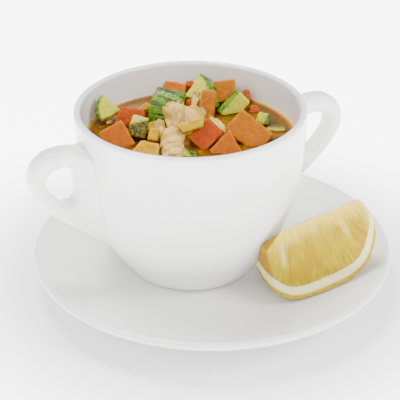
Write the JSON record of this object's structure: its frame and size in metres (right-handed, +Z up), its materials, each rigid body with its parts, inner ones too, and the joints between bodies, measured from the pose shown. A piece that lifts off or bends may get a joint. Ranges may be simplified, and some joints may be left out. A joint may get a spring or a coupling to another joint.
{
  "type": "bowl of vegetable soup",
  "caption": "Round two-handled soup cup on a wide saucer, filled with clear broth and chunky diced vegetables, with a lemon wedge on the saucer.",
  "frame": {"origin": "centre of the saucer's underside, on the table", "axes": "+Z up; -Y towards the front that the picture shows; +X to its right, where the lemon lies"},
  "size_m": [0.1672, 0.1672, 0.0895],
  "materials": {
    "porcelain": "white, glossy glaze",
    "broth": "clear amber-brown broth, wet",
    "squash": "cooked orange squash, wet",
    "carrot": "cooked carrot, wet",
    "courgette": "cooked courgette with green skin, wet",
    "pepper": "cooked yellow pepper, wet",
    "onion": "soft pale onion layers, wet",
    "lemon": "cut lemon, moist pulp"
  },
  "bodies": {
    "root": {"broth": "broth", "carrot_back": "carrot", "carrot_chip": "carrot", "carrot_front": "carrot", "carrot_left": "carrot", "carrot_middle": "carrot", "carrot_sliver": "carrot", "carrot_stick": "squash", "celery_left": "courgette", "courgette_bit_right": "courgette", "courgette_block": "courgette", "courgette_float": "courgette", "courgette_front": "courgette", "courgette_slice_left": "courgette", "courgette_top": "courgette", "courgette_wedge": "courgette", "cup": "porcelain", "lemon_wedge": "lemon", "onion_front": "onion", "onion_left": "onion", "onion_lower": "onion", "onion_on_carrot": "onion", "onion_right": "onion", "onion_shred": "onion", "onion_upper": "onion", "pepper_back_left": "pepper", "pepper_bit": "pepper", "pepper_left": "pepper", "pepper_strip": "pepper", "saucer": "porcelain", "squash_back": "squash", "squash_back_left": "squash", "squash_front": "squash", "squash_front_left": "squash", "squash_front_right": "squash", "squash_right": "squash"}
  },
  "joints": []
}
